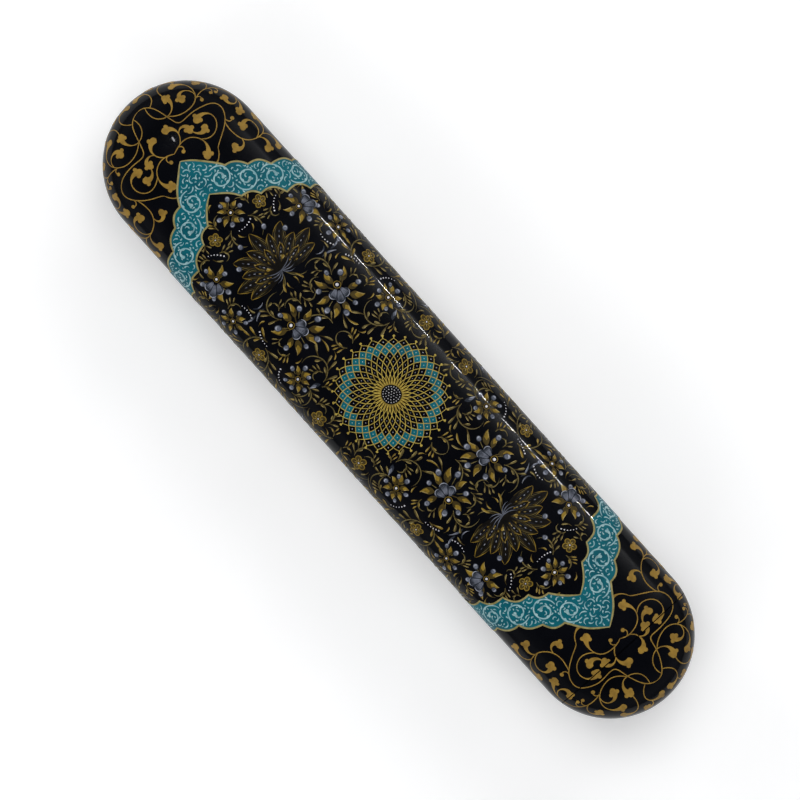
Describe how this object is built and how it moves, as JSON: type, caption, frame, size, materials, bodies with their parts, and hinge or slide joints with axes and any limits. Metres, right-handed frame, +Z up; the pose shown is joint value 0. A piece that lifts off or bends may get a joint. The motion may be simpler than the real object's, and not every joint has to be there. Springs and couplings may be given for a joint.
{
  "type": "sliding pen box",
  "caption": "Slim round-ended lacquered pen box; a drawer slides out of its sleeve with reed pens, penknife, nib plate, spoon and a lidded inkwell.",
  "frame": {"origin": "middle of the box's footprint, on the surface that it stands on", "axes": "+X along the box towards the drawer's head, the way the drawer opens; +Y across; +Z up"},
  "size_m": [0.24, 0.0506, 0.042],
  "materials": {
    "lacquered_paper": "gloss",
    "tray_lacquer": "satin",
    "brass": "satin",
    "inked_silk": "matte",
    "steel": "satin",
    "reed": "satin",
    "bone": "satin"
  },
  "bodies": {
    "case": {"case_sleeve": "lacquered_paper"},
    "drawer": {"drawer_tray": "tray_lacquer", "drawer_head": "lacquered_paper", "tray_divider": "tray_lacquer", "inkwell_body": "brass", "ink_wad": "inked_silk", "inkwell_hinge_pin": "steel"},
    "inkwell_cover": {"inkwell_lid": "brass", "lid_finial": "brass"},
    "broad_pen": {"reed_pen_broad": "reed"},
    "medium_pen": {"reed_pen_medium": "reed"},
    "fine_pen": {"reed_pen_fine": "reed"},
    "penknife": {"penknife_handle": "bone", "penknife_ferrule": "brass", "penknife_blade": "steel"},
    "cutting_plate": {"nib_plate": "bone"},
    "spoon": {"water_spoon": "brass"}
  },
  "joints": [
    {"name": "drawer_slide", "type": "slide", "parent": "case", "child": "drawer", "axis": [1, 0, 0], "range_m": [0, 0.2]},
    {"name": "inkwell_lid_hinge", "type": "hinge", "parent": "drawer", "child": "inkwell_cover", "pos_m": [0.0894, 0, 0.0201], "axis": [0, 1, 0], "range_deg": [0, 100]},
    {"name": "broad_pen_lift", "type": "slide", "parent": "drawer", "child": "broad_pen", "axis": [0, 0, 1], "range_m": [0, 0.018]},
    {"name": "medium_pen_lift", "type": "slide", "parent": "drawer", "child": "medium_pen", "axis": [0, 0, 1], "range_m": [0, 0.018]},
    {"name": "fine_pen_lift", "type": "slide", "parent": "drawer", "child": "fine_pen", "axis": [0, 0, 1], "range_m": [0, 0.018]},
    {"name": "penknife_lift", "type": "slide", "parent": "drawer", "child": "penknife", "axis": [0, 0, 1], "range_m": [0, 0.018]},
    {"name": "cutting_plate_lift", "type": "slide", "parent": "drawer", "child": "cutting_plate", "axis": [0, 0, 1], "range_m": [0, 0.018]},
    {"name": "spoon_lift", "type": "slide", "parent": "drawer", "child": "spoon", "axis": [0, 0, 1], "range_m": [0, 0.018]}
  ]
}
